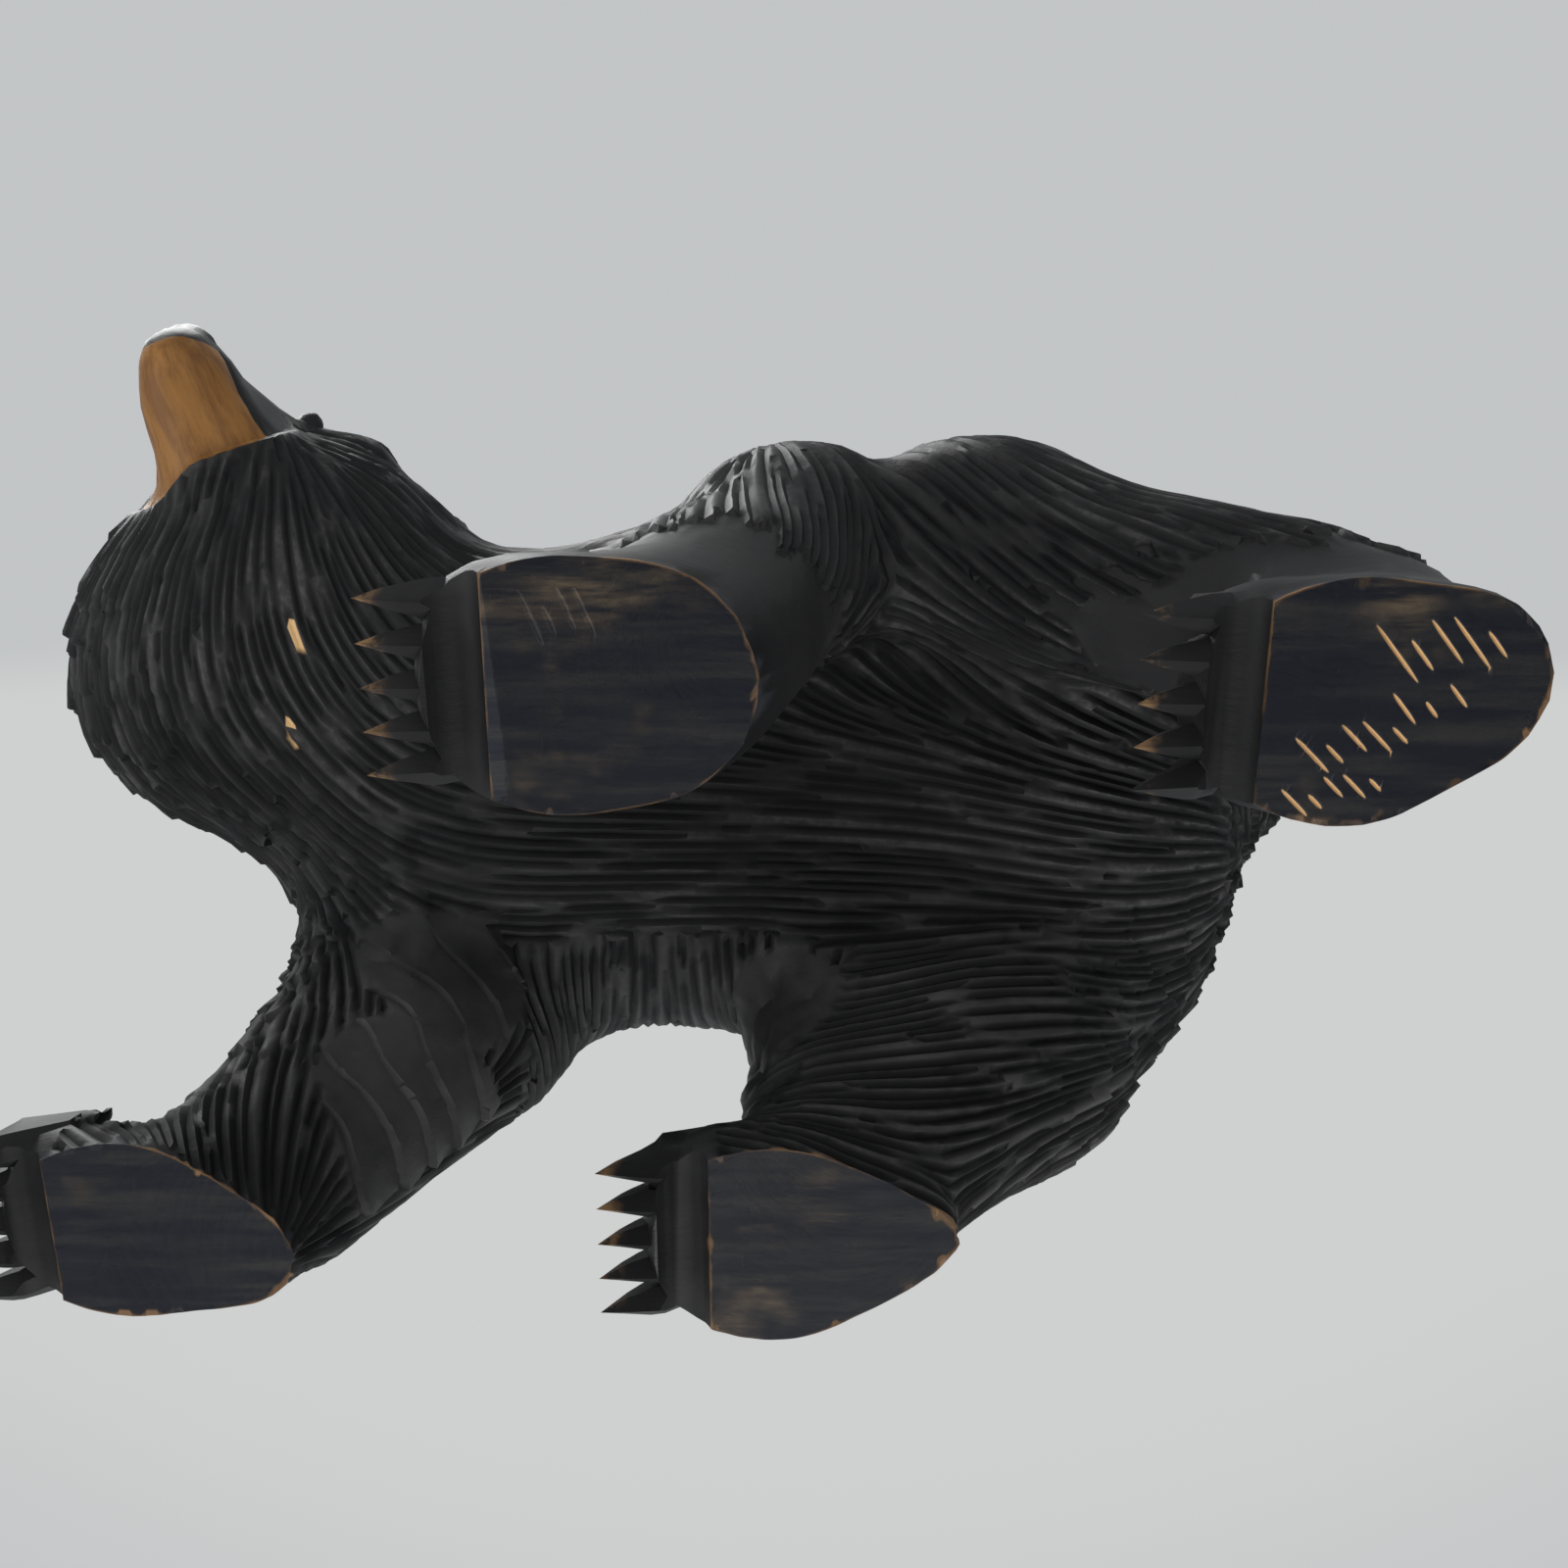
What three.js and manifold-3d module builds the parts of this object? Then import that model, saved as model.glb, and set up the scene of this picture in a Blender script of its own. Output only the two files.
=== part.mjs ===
// A carved wooden bear: it walks on four flat-soled paws and turns its head to its left.
// Millimetres, +Z up. The bear faces -Y, its left side is +X, and its soles lie on z = 0.
// The whole figure is cut from one block, so it is one solid.
import * as THREE from 'three';
import { mergeVertices } from 'three/addons/utils/BufferGeometryUtils.js';
import Module from 'manifold-3d';

// Driving dimensions
const BELLY_HEIGHT = 97; // floor to the underside of the belly
const BARREL_HALF_WIDTH = 97; // the barrel of the body, to either side
const BARREL_HALF_DEPTH = 73; // the barrel of the body, up and down
const STANCE = 80; // the middle of a paw from the middle of the body
const DIGIT_SPACING = 10.5; // claw to claw
const DIGITS = 5; // claws on a paw
const CLAW_REACH = 32; // toe line to claw tip
const SCOOP_RADIUS = 7.8; // the gouge that hollows the paw behind its claws
const SCOOP_DROP = 2; // the gouge's axis below the floor
const SCOOP_WIDTH = 84; // the gouge, from one side of the paw to the other
const LOCK_LENGTH = 34; // a lock of fur, root to tip
const LOCK_WIDTH = 30; // a lock of fur, side to side
const LOCK_HEIGHT = 3.6; // how far a lock's tip stands out
const CELL = 14.6; // size of a facet cut on the body
const FINE_FACET = 8; // size of a facet cut on the face and paws

const BARREL_Z = BELLY_HEIGHT + BARREL_HALF_DEPTH;
const point = (x, y, z) => new THREE.Vector3(x, y, z);

// The four paws: the toe line, and the middle and half width of the flat sole at its ball and its heel.
const PAWS = {
  left_fore: { toeLine: -75, ball: [STANCE + 1, -55], heel: [STANCE + 2, -40], widths: [34, 32] },
  left_hind: { toeLine: 121, ball: [STANCE - 3, 144], heel: [STANCE + 2, 168], widths: [33, 25] },
  right_fore: { toeLine: -207, ball: [-STANCE + 3, -186], heel: [-STANCE - 6, -157], widths: [29, 15] },
  right_hind: { toeLine: -21, ball: [-STANCE - 2, -3], heel: [-STANCE, 41], widths: [32, 9] },
};

// The head looks along FACE, nearly a quarter turn to the bear's left.
const HEAD = point(71, -178, 184);
const FACE_TURN = 72; // degrees from straight ahead to the left
const FACE = point(0, -1, 0).applyAxisAngle(point(0, 0, 1), THREE.MathUtils.degToRad(FACE_TURN));
const FACE_SIDE = point(0, 0, 1).cross(FACE); // the bear's own left
const onHead = (ahead, side, up) =>
  HEAD.clone().addScaledVector(FACE, ahead).addScaledVector(FACE_SIDE, side).add(point(0, 0, up));

// Signed distance to a round cone: two balls and the cone that touches both.
function roundCone(a, b, radiusA, radiusB) {
  const axis = b.clone().sub(a);
  const lengthSq = axis.lengthSq();
  const taper = radiusA - radiusB;
  const slantSq = lengthSq - taper * taper;
  const fromA = new THREE.Vector3();
  const across = new THREE.Vector3();
  return (p) => {
    fromA.subVectors(p, a);
    const along = fromA.dot(axis);
    const beyond = along - lengthSq;
    const acrossSq = across.copy(fromA).multiplyScalar(lengthSq).addScaledVector(axis, -along).lengthSq();
    const alongSq = along * along * lengthSq;
    const beyondSq = beyond * beyond * lengthSq;
    const side = Math.sign(taper) * taper * taper * acrossSq;
    if (Math.sign(beyond) * slantSq * beyondSq > side) {
      return Math.sqrt(acrossSq + beyondSq) / lengthSq - radiusB;
    }
    if (Math.sign(along) * slantSq * alongSq < side) {
      return Math.sqrt(acrossSq + alongSq) / lengthSq - radiusA;
    }
    return (Math.sqrt((acrossSq * slantSq) / lengthSq) + along * taper) / lengthSq - radiusA;
  };
}

// Signed distance to an ellipsoid, near enough close to its surface.
function ellipsoid(centre, radii) {
  const inverse = point(1 / radii.x, 1 / radii.y, 1 / radii.z);
  const scaled = new THREE.Vector3();
  return (p) => {
    scaled.subVectors(p, centre).multiply(inverse);
    const near = scaled.length();
    const steep = scaled.multiply(inverse).length();
    return steep > 0 ? (near * (near - 1)) / steep : -Math.min(radii.x, radii.y, radii.z);
  };
}

// A form pressed flatter in height about a level.
function flattened(form, level, share) {
  const raised = new THREE.Vector3();
  return (p) => form(raised.set(p.x, p.y, level + (p.z - level) / share)) * share;
}

// Joins two distances with a fillet of about the given size.
function blend(a, b, fillet) {
  const close = Math.max(fillet - Math.abs(a - b), 0) / fillet;
  return Math.min(a, b) - (close * close * fillet) / 4;
}

// One list of forms, each with the fillet that joins it to those before it.
function figure() {
  const forms = [];
  const add = (fillet, form) => forms.push({ fillet, form });

  // Trunk
  const barrel = point(BARREL_HALF_WIDTH, 118, BARREL_HALF_DEPTH);
  add(20, ellipsoid(point(-4, 26, BARREL_Z), barrel));
  add(36, ellipsoid(point(-4, -82, BARREL_Z + 2), point(BARREL_HALF_WIDTH - 9, 88, BARREL_HALF_DEPTH + 1)));
  add(36, ellipsoid(point(-2, 104, BARREL_Z - 3), point(BARREL_HALF_WIDTH - 5, 64, BARREL_HALF_DEPTH + 3)));
  add(36, ellipsoid(point(4, -72, BARREL_Z + 45), point(58, 66, 44)));
  add(14, roundCone(point(0, 160, BARREL_Z + 8), point(0, 174, BARREL_Z - 16), 15, 10));

  // Neck and head
  add(30, roundCone(point(-8, -114, BARREL_Z + 4), point(48, -168, HEAD.z - 6), 70, 60));
  add(20, ellipsoid(HEAD, point(57, 60, 55)));
  add(24, ellipsoid(point(44, -191, HEAD.z - 18), point(59, 64, 48)));
  add(6, roundCone(onHead(42, 0, -18), onHead(85, 0, -25), 27, 13));
  add(10, roundCone(onHead(42, 0, 6), onHead(85, 0, -12), 23, 11));
  for (const side of [-1, 1]) {
    add(14, ellipsoid(onHead(32, side * 25, 21), point(16, 16, 13)));
  }

  // Legs: shoulder or hip, elbow or knee, then wrist or heel. The left legs reach back and the right legs
  // forward. A right leg is broad from front to back, so it is two forms side by side.
  const leg = (joint, bend, ankle, sizes) => {
    add(24, roundCone(joint, bend, sizes[0], sizes[1]));
    add(14, roundCone(bend, ankle, sizes[1] + 2, sizes[2]));
  };
  leg(point(46, -60, 170), point(98, 3, 117), point(82, -29, 34), [40, 31, 32]);
  leg(point(-52, -108, 165), point(-68, -110, 112), point(-81, -150, 34), [48, 34, 28]);
  leg(point(-48, -124, 150), point(-66, -134, 104), point(-78, -164, 34), [40, 34, 27]);
  leg(point(58, 106, 168), point(100, 62, 118), point(82, 162, 40), [54, 31, 28]);
  leg(point(-58, 94, 160), point(-70, 31, 110), point(-80, 12, 34), [50, 38, 28]);
  leg(point(-58, 98, 150), point(-70, 74, 96), point(-80, 26, 34), [46, 40, 29]);

  // Paws: a flattened wedge from the toes back to the heel
  for (const { toeLine, ball, heel, widths } of Object.values(PAWS)) {
    const level = 2;
    const wedge = roundCone(point(...ball, level), point(...heel, level), ...widths);
    add(18, flattened(wedge, level, 0.85));
    add(14, ellipsoid(point(ball[0], toeLine - 1, level + 11), point(widths[0] - 4, 18, 13)));
  }

  return (p) => {
    let distance = forms[0].form(p);
    for (const { fillet, form } of forms.slice(1)) {
      distance = blend(distance, form(p), fillet);
    }
    return distance;
  };
}

// The outward direction of a distance field.
function slope(field, p) {
  const step = 0.5;
  const probe = (dx, dy, dz) => field(point(p.x + dx, p.y + dy, p.z + dz));
  return point(
    probe(step, 0, 0) - probe(-step, 0, 0),
    probe(0, step, 0) - probe(0, -step, 0),
    probe(0, 0, step) - probe(0, 0, -step),
  ).divideScalar(2 * step);
}

// How much fur a place carries: none under the paws and on the muzzle, most on the back and rump.
function furriness(p, normal) {
  const aboveFoot = THREE.MathUtils.smoothstep(p.z, 45, 85);
  const muzzle = p.clone().sub(HEAD).dot(FACE);
  const offMuzzle = 1 - THREE.MathUtils.smoothstep(muzzle, 40, 58);
  const outward = THREE.MathUtils.smoothstep(normal.z, -0.75, 0.1);
  return aboveFoot * offMuzzle * outward;
}

// Overlapping locks of fur that run back along the body and down the flanks, each rising to a tip.
function lockHeight(p, normal) {
  const along = (p.y - 0.45 * p.z) / LOCK_LENGTH + 40;
  const row = Math.floor(along);
  const rise = along - row;
  const round = Math.atan2(p.x, p.z - BARREL_Z + 30) * BARREL_HALF_WIDTH;
  const across = round / LOCK_WIDTH + (row % 2) / 2 + 40;
  const middle = Math.abs(across - Math.floor(across) - 0.5) * 2;
  return LOCK_HEIGHT * furriness(p, normal) * (rise * (1 - middle * middle) - 0.4);
}

// Cuts a distance field into facets: one point in each cell that the surface crosses, joined in fours.
function facets(field, low, high) {
  const count = ['x', 'y', 'z'].map((axis) => Math.ceil((high[axis] - low[axis]) / CELL) + 1);
  const corner = (i, j, k) => point(low.x + i * CELL, low.y + j * CELL, low.z + k * CELL);
  const slot = (i, j, k) => (k * count[1] + j) * count[0] + i;
  const values = new Float32Array(count[0] * count[1] * count[2]);
  const each = (limit, visit) => {
    for (let k = 0; k < count[2] - limit; k++) {
      for (let j = 0; j < count[1] - limit; j++) {
        for (let i = 0; i < count[0] - limit; i++) visit(i, j, k);
      }
    }
  };
  each(0, (i, j, k) => (values[slot(i, j, k)] = field(corner(i, j, k))));

  // One point in each crossed cell, drawn onto the surface
  const pointOf = new Map();
  const points = [];
  each(1, (i, j, k) => {
    const middle = new THREE.Vector3();
    let crossings = 0;
    for (const [axis, a, b] of CELL_EDGES) {
      const start = [i + a[0], j + a[1], k + a[2]];
      const end = [i + b[0], j + b[1], k + b[2]];
      const from = values[slot(...start)];
      const to = values[slot(...end)];
      if (from < 0 === to < 0) continue;
      const crossing = corner(...start);
      crossing[axis] += (CELL * from) / (from - to);
      middle.add(crossing);
      crossings++;
    }
    if (crossings === 0) return;
    middle.divideScalar(crossings);
    const cell = corner(i, j, k);
    for (let pass = 0; pass < 3; pass++) {
      const out = slope(field, middle);
      middle.addScaledVector(out, -field(middle) / Math.max(out.lengthSq(), 0.2));
      middle.clamp(cell, cell.clone().addScalar(CELL));
    }
    pointOf.set(slot(i, j, k), points.length);
    points.push(middle);
  });

  // Four cells meet round each crossed edge of the grid
  const index = [];
  const turns = [[1, 2], [2, 0], [0, 1]];
  each(1, (i, j, k) => {
    turns.forEach(([u, v], w) => {
      const here = [i, j, k];
      if (here[u] === 0 || here[v] === 0) return;
      const next = here.slice();
      next[w]++;
      const inside = values[slot(...here)] < 0;
      if (inside === values[slot(...next)] < 0) return;
      const ring = [[0, 0], [-1, 0], [-1, -1], [0, -1]].map(([du, dv]) => {
        const cell = here.slice();
        cell[u] += du;
        cell[v] += dv;
        return pointOf.get(slot(...cell));
      });
      if (!inside) ring.reverse();
      const even = points[ring[0]].distanceTo(points[ring[2]]) < points[ring[1]].distanceTo(points[ring[3]]);
      const [a, b, c, d] = even ? ring : [ring[1], ring[2], ring[3], ring[0]];
      index.push(a, b, c, a, c, d);
    });
  });

  return { points, index };
}

// The facet size wanted at a place.
function facetSize(p) {
  const nearFace = p.distanceTo(onHead(50, 0, -5)) < 58;
  return nearFace || p.z < 32 ? FINE_FACET : 1.3 * CELL;
}

// Draws a point onto the surface of a distance field.
function settle(field, p) {
  for (let pass = 0; pass < 3; pass++) {
    const out = slope(field, p);
    p.addScaledVector(out, -field(p) / Math.max(out.lengthSq(), 0.2));
  }
  return p;
}

// Halves every edge that is too long for its place. Each facet keeps its outline and gains the new points.
function refine(field, points, index) {
  const firstNew = points.length;
  const made = new Map();
  const middleOf = (a, b) => {
    const key = a < b ? `${a} ${b}` : `${b} ${a}`;
    if (!made.has(key)) {
      const middle = points[a].clone().lerp(points[b], 0.5);
      const long = points[a].distanceTo(points[b]) > 1.45 * facetSize(middle);
      made.set(key, long ? points.push(settle(field, middle)) - 1 : -1);
    }
    return made.get(key);
  };
  const finer = [];
  for (let t = 0; t < index.length; t += 3) {
    const loop = [];
    for (let n = 0; n < 3; n++) {
      const a = index[t + n];
      loop.push(a);
      const middle = middleOf(a, index[t + ((n + 1) % 3)]);
      if (middle >= 0) loop.push(middle);
    }
    finer.push(...corners(points, loop, firstNew));
  }
  return finer;
}

// Cuts a facet with new points on its outline into triangles: an old corner at a time, at the shortest cut.
function corners(points, loop, firstNew) {
  if (loop.length === 3) return loop;
  let cut = { gap: Infinity };
  loop.forEach((corner, n) => {
    const before = loop[(n + loop.length - 1) % loop.length];
    const after = loop[(n + 1) % loop.length];
    const gap = points[before].distanceTo(points[after]);
    const beside = Math.max(before, after) >= firstNew;
    if (corner < firstNew && beside && gap < cut.gap) cut = { gap, n, before, corner, after };
  });
  const rest = loop.filter((_, n) => n !== cut.n);
  return [cut.before, cut.corner, cut.after, ...corners(points, rest, firstNew)];
}

// The twelve edges of a cell: the axis each runs along and its two ends.
const CELL_EDGES = ['x', 'y', 'z'].flatMap((axis, w) =>
  [[0, 0], [1, 0], [0, 1], [1, 1]].map(([s, t]) => {
    const start = [0, 0, 0];
    start[(w + 1) % 3] = s;
    start[(w + 2) % 3] = t;
    const end = start.slice();
    end[w] = 1;
    return [axis, start, end];
  }),
);

// Skins rings of points into one closed surface that ends in a tip.
function loft(rings, tip) {
  const sides = rings[0].length;
  const points = [...rings.flat(), tip];
  const index = [];
  for (let i = 1; i < sides - 1; i++) index.push(0, i + 1, i);
  for (let r = 0; r < rings.length - 1; r++) {
    for (let i = 0; i < sides; i++) {
      const a = r * sides + i;
      const b = r * sides + ((i + 1) % sides);
      index.push(a, b, b + sides, a, b + sides, a + sides);
    }
  }
  const last = (rings.length - 1) * sides;
  for (let i = 0; i < sides; i++) index.push(last + i, last + ((i + 1) % sides), points.length - 1);
  return geometryOf(points, index);
}

function geometryOf(points, index) {
  return new THREE.BufferGeometry().setFromPoints(points).setIndex(index);
}

// One digit: a rounded toe that steps down to a claw with a keel below and a narrow ridge above.
function digit(x, toeLine, spread) {
  const sections = [
    { ahead: -8, half: 5.5, crest: 2.8, keel: 10, side: 20, ridge: 28 },
    { ahead: 14.5, half: 5.3, crest: 2.4, keel: 0.5, side: 6, ridge: 21 },
    { ahead: 17, half: 4.7, crest: 1.3, keel: 0.5, side: 5, ridge: 15.5 },
    { ahead: 25, half: 2.7, crest: 0.8, keel: 0.7, side: 3.8, ridge: 9.5 },
  ];
  const rings = sections.map(({ ahead, half, crest, keel, side, ridge }) => {
    const middle = x + (spread * ahead) / CLAW_REACH;
    const y = toeLine - ahead;
    return [
      point(middle, y, keel),
      point(middle + half, y, side),
      point(middle + crest, y, ridge),
      point(middle - crest, y, ridge),
      point(middle - half, y, side),
    ];
  });
  return loft(rings, point(x + spread, toeLine - CLAW_REACH, 1.2));
}

// Joins and cuts
const wasm = await Module();
wasm.setup();

function solid(geometry) {
  const bare = geometry.clone();
  bare.deleteAttribute('normal');
  bare.deleteAttribute('uv');
  const merged = mergeVertices(bare);
  return new wasm.Manifold(
    new wasm.Mesh({
      numProp: 3,
      vertProperties: merged.getAttribute('position').array,
      triVerts: new Uint32Array(merged.index.array),
    }),
  );
}

function geometryFrom(body) {
  const mesh = body.getMesh();
  const geometry = new THREE.BufferGeometry();
  geometry.setAttribute('position', new THREE.BufferAttribute(mesh.vertProperties, 3));
  geometry.setIndex(new THREE.BufferAttribute(mesh.triVerts, 1));
  return geometry;
}

function carvedBody(field) {
  const coarse = facets(field, point(-150, -290, -40), point(190, 240, 290));
  const points = coarse.points;
  const index = refine(field, points, coarse.index);
  const raised = points.map((p) => {
    const normal = slope(field, p).normalize();
    return p.clone().addScaledVector(normal, lockHeight(p, normal));
  });
  return solid(geometryOf(raised, index));
}

// The paws stand flat on the floor, carry five claws each, and are gouged hollow behind the claws.
function withPaws(body) {
  const floor = new THREE.BoxGeometry(600, 800, 100).translate(0, 0, -50);
  let made = body.subtract(solid(floor));
  const halfChord = Math.sqrt(SCOOP_RADIUS ** 2 - SCOOP_DROP ** 2);
  for (const { toeLine, ball } of Object.values(PAWS)) {
    for (let n = 0; n < DIGITS; n++) {
      const place = n - (DIGITS - 1) / 2;
      made = made.add(solid(digit(ball[0] + place * DIGIT_SPACING, toeLine, place)));
    }
    const gouge = new THREE.CylinderGeometry(SCOOP_RADIUS, SCOOP_RADIUS, SCOOP_WIDTH, 16)
      .rotateZ(Math.PI / 2)
      .translate(ball[0], toeLine - halfChord, -SCOOP_DROP);
    made = made.subtract(solid(gouge));
  }
  return made;
}

// Ears, eyes and nose
function withFace(field, body) {
  const knob = (radius, squash, at, turn) =>
    new THREE.SphereGeometry(radius, 10, 7)
      .scale(...squash)
      .rotateZ(turn)
      .translate(at.x, at.y, at.z);
  const turn = THREE.MathUtils.degToRad(FACE_TURN);
  let made = body;
  for (const side of [-1, 1]) {
    const ear = knob(18, [1, 0.62, 1.05], onHead(-6, side * 41, 43), turn - side * 0.3);
    const hollow = knob(12, [1, 0.7, 1.05], onHead(5, side * 43, 46), turn - side * 0.3);
    made = made.add(solid(ear)).subtract(solid(hollow));
    const eye = settle(field, onHead(56, side * 24, 16));
    made = made.add(solid(knob(5, [1, 0.8, 0.9], eye, turn)));
  }
  return made.add(solid(knob(11.5, [1, 0.75, 0.85], onHead(90, 0, -11), turn)));
}

// The origin is on the floor, under the middle of the figure's box.
const field = figure();
const body = geometryFrom(withFace(field, withPaws(carvedBody(field))));
body.computeBoundingBox();
const centre = body.boundingBox.getCenter(new THREE.Vector3());
body.translate(-centre.x, -centre.y, 0);

const stainedWood = new THREE.MeshStandardMaterial({ color: 0x17181a, roughness: 0.6, metalness: 0 });
const bear = new THREE.Mesh(body, stainedWood);
bear.name = 'bear';

const statue = new THREE.Group();
statue.add(bear);

export default statue;
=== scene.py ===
import math

import bmesh
import bpy
import numpy as np
from mathutils import Matrix, Vector
from mathutils.kdtree import KDTree


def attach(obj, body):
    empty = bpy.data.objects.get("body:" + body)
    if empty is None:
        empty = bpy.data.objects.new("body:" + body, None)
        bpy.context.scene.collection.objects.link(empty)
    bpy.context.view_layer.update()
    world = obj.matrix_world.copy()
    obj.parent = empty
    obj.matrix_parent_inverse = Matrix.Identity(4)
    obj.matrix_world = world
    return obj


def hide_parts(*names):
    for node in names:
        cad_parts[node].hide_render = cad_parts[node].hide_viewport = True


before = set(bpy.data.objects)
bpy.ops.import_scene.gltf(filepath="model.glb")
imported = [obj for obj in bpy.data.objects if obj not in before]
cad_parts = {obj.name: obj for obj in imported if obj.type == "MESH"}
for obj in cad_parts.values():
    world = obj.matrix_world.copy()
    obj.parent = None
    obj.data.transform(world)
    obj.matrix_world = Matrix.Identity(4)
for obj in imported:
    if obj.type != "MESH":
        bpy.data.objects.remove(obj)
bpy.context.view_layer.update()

# The carving is worked in millimetres from the middle of the stance, as the solid was laid out.
# MIDDLE is where that point lies from the middle of the figure's box.
MIDDLE = np.array([-25.11, 30.38, 0.0])
MM = 0.001
RNG = np.random.default_rng(41)

# Landmarks
HEAD = np.array([71.0, -178.0, 184.0])
FACE_TURN = math.radians(72)
FACE = np.array([math.sin(FACE_TURN), -math.cos(FACE_TURN), 0.0])
FACE_SIDE = np.array([math.cos(FACE_TURN), math.sin(FACE_TURN), 0.0])
UP = np.array([0.0, 0.0, 1.0])
# Where each paw's sole ends and its toes begin, as x and y
TOE_LINES = {
    "left_fore": (81, -75),
    "left_hind": (77, 121),
    "right_fore": (-77, -207),
    "right_hind": (-82, -21),
}
ELBOW = np.array([126.0, -2.0, 128.0])
KNEE = np.array([128.0, 60.0, 128.0])
DIGIT_SPACING = 10.5

# Mesh sizes, in millimetres
FINE_EDGE = 0.88
BACK_EDGE = 1.3
SOLE_EDGE = 2.0
MARK_EDGE = 0.45
MOST_TRIANGLES = 196000
SHARP_TURN = math.radians(42)


def on_head(ahead, side, up):
    return HEAD + ahead * FACE + side * FACE_SIDE + up * UP


NOSE = on_head(90, 0, -11)
EYES = [on_head(56, side * 24, 16) for side in (-1, 1)]
EARS = [on_head(3, side * 43, 46) for side in (-1, 1)]


def smoothstep(x, low, high):
    t = np.clip((x - low) / (high - low), 0, 1)
    return t * t * (3 - 2 * t)


def unit(v):
    return v / np.maximum(np.linalg.norm(v, axis=-1, keepdims=True), 1e-9)


# Smooth base from the solid
def smooth_base(node):
    """The solid's surface, rounded over its facets and kept sharp where a knife edge runs."""
    mesh = bpy.data.meshes.new("base")
    work = bmesh.new()
    work.from_mesh(node.data)
    bmesh.ops.remove_doubles(work, verts=work.verts, dist=2e-5)
    bmesh.ops.dissolve_degenerate(work, edges=work.edges, dist=2e-5)
    bmesh.ops.triangulate(work, faces=work.faces)
    crease = work.edges.layers.float.new("crease_edge")
    for edge in work.edges:
        place = np.array(edge.verts[0].co) / MM - MIDDLE
        knifed = place[2] < 36 or np.linalg.norm(place - NOSE) < 24
        turn = edge.calc_face_angle(0)
        if turn > math.radians(38 if knifed else 75):
            edge[crease] = 1.0 if knifed else 0.6
    bmesh.ops.join_triangles(
        work,
        faces=work.faces,
        angle_face_threshold=math.radians(30),
        angle_shape_threshold=math.radians(50),
    )
    work.to_mesh(mesh)
    work.free()
    base = bpy.data.objects.new("base", mesh)
    bpy.context.scene.collection.objects.link(base)
    rounding = base.modifiers.new("rounding", "SUBSURF")
    rounding.levels = 2
    rounding.use_limit_surface = False
    done = base.evaluated_get(bpy.context.evaluated_depsgraph_get()).to_mesh()
    points, triangles = arrays(done)
    bpy.data.objects.remove(base)
    return points / MM - MIDDLE, triangles


def arrays(mesh):
    mesh.calc_loop_triangles()
    points = np.zeros(len(mesh.vertices) * 3)
    mesh.vertices.foreach_get("co", points)
    triangles = np.zeros(len(mesh.loop_triangles) * 3, np.int64)
    mesh.loop_triangles.foreach_get("vertices", triangles)
    return points.reshape(-1, 3), triangles.reshape(-1, 3)


def normals(points, triangles):
    corner = points[triangles]
    face = np.cross(corner[:, 1] - corner[:, 0], corner[:, 2] - corner[:, 0])
    total = np.zeros_like(points)
    for n in range(3):
        np.add.at(total, triangles[:, n], face)
    return unit(total)


def edges_of(triangles):
    """Every edge once, and the three edges of each triangle."""
    ends = np.sort(triangles[:, [0, 1, 1, 2, 2, 0]].reshape(-1, 2), axis=1)
    many = triangles.max() + 1
    keys, place = np.unique(ends[:, 0] * many + ends[:, 1], return_inverse=True)
    return np.stack([keys // many, keys % many], 1), place.reshape(-1, 3)


def relax(points, triangles, amount, rounds):
    """Evens out the facets that are left, where amount allows it."""
    edges, _ = edges_of(triangles)
    count = np.bincount(edges.ravel(), minlength=len(points))[:, None]
    for _ in range(rounds):
        total = np.zeros_like(points)
        np.add.at(total, edges[:, 0], points[edges[:, 1]])
        np.add.at(total, edges[:, 1], points[edges[:, 0]])
        points = points + amount[:, None] * (total / count - points)
    return points


def refine(points, triangles, size):
    """Halves the edges longer than size allows until none is left."""
    for _ in range(8):
        edges, place = edges_of(triangles)
        a, b = points[edges[:, 0]], points[edges[:, 1]]
        middle = (a + b) / 2
        long = np.linalg.norm(b - a, axis=1) > 1.4 * size(middle)
        if not long.any():
            break
        name = np.full(len(edges), -1)
        name[long] = len(points) + np.arange(long.sum())
        points = np.vstack([points, middle[long]])
        triangles = split(triangles, name[place], points)
    return points, triangles


def split(triangles, middles, points):
    """Cuts triangles at the middles of their long edges: one, two or three of them."""
    parts = []
    cuts = (middles >= 0).sum(1)
    parts.append(triangles[cuts == 0])
    for wanted in (1, 2, 3):
        for turn in range(3):
            corners = np.roll(triangles, -turn, axis=1)
            mids = np.roll(middles, -turn, axis=1)
            has = mids >= 0
            if wanted == 1:
                pick = (cuts == 1) & has[:, 0]
            elif wanted == 2:
                pick = (cuts == 2) & has[:, 0] & has[:, 1]
            else:
                pick = (cuts == 3) & (turn == 0)
            a, b, c = corners[pick].T
            ab, bc, ca = mids[pick].T
            if wanted == 1:
                parts += [np.stack([a, ab, c], 1), np.stack([ab, b, c], 1)]
            elif wanted == 2:
                parts.append(np.stack([ab, b, bc], 1))
                one_way = np.linalg.norm(points[a] - points[bc], axis=1)
                other_way = np.linalg.norm(points[ab] - points[c], axis=1)
                shorter = (one_way < other_way)[:, None]
                parts.append(np.where(shorter, np.stack([a, ab, bc], 1), np.stack([a, ab, c], 1)))
                parts.append(np.where(shorter, np.stack([a, bc, c], 1), np.stack([ab, bc, c], 1)))
            else:
                parts += [np.stack(t, 1) for t in ((a, ab, ca), (ab, b, bc), (ca, bc, c), (ab, bc, ca))]
    return np.vstack(parts)


# Where the parts of the body are
def near(points, centre, reach):
    """1 at the centre, falling off smoothly over reach."""
    return np.exp(-((points - np.array(centre)) ** 2).sum(1) / (2 * reach**2))


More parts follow.
